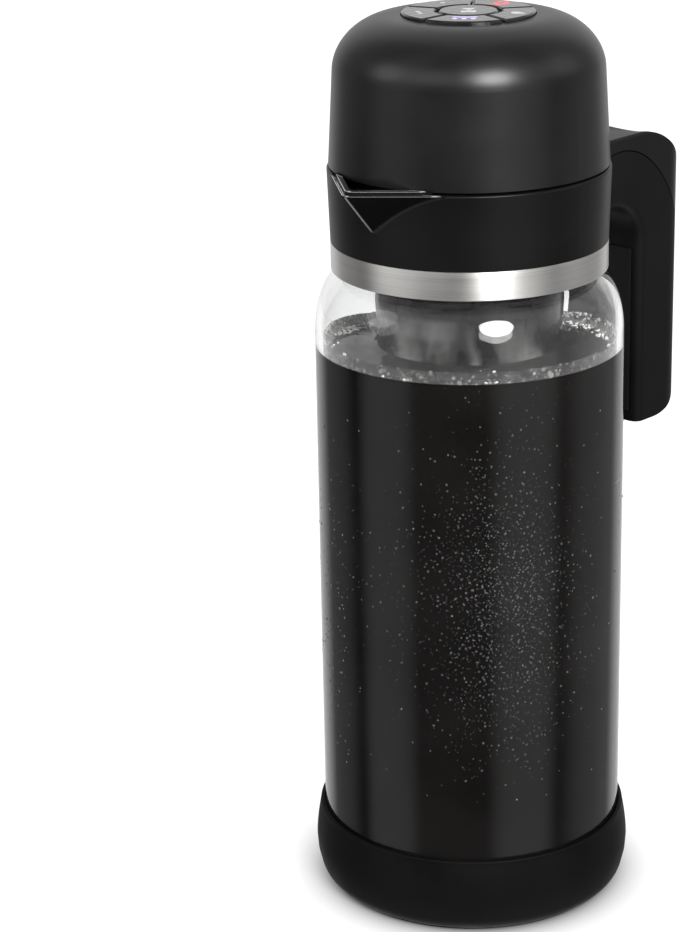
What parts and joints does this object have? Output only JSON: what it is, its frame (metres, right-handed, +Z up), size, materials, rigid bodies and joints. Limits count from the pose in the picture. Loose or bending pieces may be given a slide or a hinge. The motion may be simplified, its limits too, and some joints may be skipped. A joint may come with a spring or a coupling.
{
  "type": "cold brew coffee maker",
  "caption": "Cordless cold brew maker: glass carafe with soft base, spout collar and side handle, lift-out mesh brew column and a domed battery head with keys that drives the pump.",
  "frame": {"origin": "on the body axis at the flat underside of the base boot", "axes": "+Z up along the body axis, -Y towards the spout, +Y towards the handle"},
  "size_m": [0.118, 0.1699, 0.3279],
  "materials": {
    "clear_glass": "clear polished borosilicate glass",
    "black_silicone": "soft matte silicone",
    "seal_silicone": "translucent grey silicone",
    "brushed_steel": "stainless, brushed round the band",
    "plain_steel": "stainless, plain",
    "screw_steel": "zinc plated",
    "black_plastic": "fine satin spark texture",
    "column_plastic": "smooth moulded",
    "inner_plastic": "moulded, unpainted",
    "bush_plastic": "natural bearing plastic",
    "key_plastic": "semi-gloss with lit signs",
    "board_green": "glass fibre board with solder mask",
    "switch_plastic": "moulded",
    "lamp_clear": "clear cast resin",
    "cell_wrap": "shrink wrap",
    "motor_steel": "nickel plated drawn steel",
    "wire_red": "insulated lead"
  },
  "bodies": {
    "carafe": {"glass_carafe": "clear_glass", "base_boot": "black_silicone", "steel_band": "brushed_steel", "neck_clamp": "inner_plastic", "clamp_screws": "screw_steel", "neck_gasket": "seal_silicone", "spout_collar": "black_plastic", "pour_liner": "column_plastic", "handle_frame": "black_plastic", "handle_grip": "black_plastic", "handle_pad": "black_silicone", "grip_screws": "screw_steel", "handle_screws": "screw_steel"},
    "brew_column": {"column_tube": "column_plastic", "basket_frame": "column_plastic", "mesh_filter": "plain_steel", "uptake_tube": "column_plastic", "upper_bush": "bush_plastic", "lower_bush": "bush_plastic", "pump_housing": "column_plastic", "intake_grille": "column_plastic"},
    "column_lid": {"column_lid": "column_plastic"},
    "pump": {"drive_shaft": "plain_steel", "impeller": "bush_plastic"},
    "power_head": {"head_shell": "black_plastic", "head_base": "inner_plastic", "head_seal": "seal_silicone", "shaft_seal": "black_silicone", "head_screws": "screw_steel", "motor_bracket": "plain_steel", "motor_can": "motor_steel", "motor_screws": "screw_steel", "battery_cells": "cell_wrap", "battery_cradle": "inner_plastic", "control_board": "board_green", "board_screws": "screw_steel", "key_switches": "switch_plastic", "indicator_leds": "lamp_clear", "key_guide": "inner_plastic", "charge_port": "plain_steel", "port_board": "board_green", "wiring": "wire_red"},
    "drive": {"motor_rotor": "plain_steel", "drive_coupler": "bush_plastic"},
    "port_cover": {"port_cover": "black_silicone"},
    "start_key": {"start_key": "key_plastic"},
    "power_key": {"power_key": "key_plastic"},
    "light_key": {"light_key": "key_plastic"},
    "medium_key": {"medium_key": "key_plastic"},
    "bold_key": {"bold_key": "key_plastic"},
    "rinse_key": {"rinse_key": "key_plastic"}
  },
  "joints": [
    {"name": "brew_column_lift", "type": "slide", "parent": "carafe", "child": "brew_column", "axis": [0, 0, 1], "range_m": [0, 0.27]},
    {"name": "column_lid_lift", "type": "slide", "parent": "brew_column", "child": "column_lid", "axis": [0, 0, 1], "range_m": [0, 0.05]},
    {"name": "power_head_lift", "type": "slide", "parent": "column_lid", "child": "power_head", "axis": [0, 0, 1], "range_m": [0, 0.08]},
    {"name": "drive_spin", "type": "hinge", "parent": "power_head", "child": "drive", "pos_m": [0, 0, 0.29], "axis": [0, 0, 1], "continuous": true},
    {"name": "pump_spin", "type": "hinge", "parent": "brew_column", "child": "pump", "pos_m": [0, 0, 0.1], "axis": [0, 0, 1], "continuous": true},
    {"name": "port_cover_hinge", "type": "hinge", "parent": "power_head", "child": "port_cover", "pos_m": [0, 0.04902, 0.285], "axis": [-1, 0, 0], "range_deg": [0, 100]},
    {"name": "start_key_press", "type": "slide", "parent": "power_head", "child": "start_key", "axis": [0, 0, -1], "range_m": [0, 0.0007], "stiffness_N_per_m": 600, "springref_m": -0.0004},
    {"name": "power_key_press", "type": "slide", "parent": "power_head", "child": "power_key", "axis": [0, 0, -1], "range_m": [0, 0.0007], "stiffness_N_per_m": 600, "springref_m": -0.0004},
    {"name": "light_key_press", "type": "slide", "parent": "power_head", "child": "light_key", "axis": [0, 0, -1], "range_m": [0, 0.0007], "stiffness_N_per_m": 600, "springref_m": -0.0004},
    {"name": "medium_key_press", "type": "slide", "parent": "power_head", "child": "medium_key", "axis": [0, 0, -1], "range_m": [0, 0.0007], "stiffness_N_per_m": 600, "springref_m": -0.0004},
    {"name": "bold_key_press", "type": "slide", "parent": "power_head", "child": "bold_key", "axis": [0, 0, -1], "range_m": [0, 0.0007], "stiffness_N_per_m": 600, "springref_m": -0.0004},
    {"name": "rinse_key_press", "type": "slide", "parent": "power_head", "child": "rinse_key", "axis": [0, 0, -1], "range_m": [0, 0.0007], "stiffness_N_per_m": 600, "springref_m": -0.0004}
  ],
  "couplings": [
    {"joint": "pump_spin", "follows": "drive_spin", "ratio": 1}
  ]
}
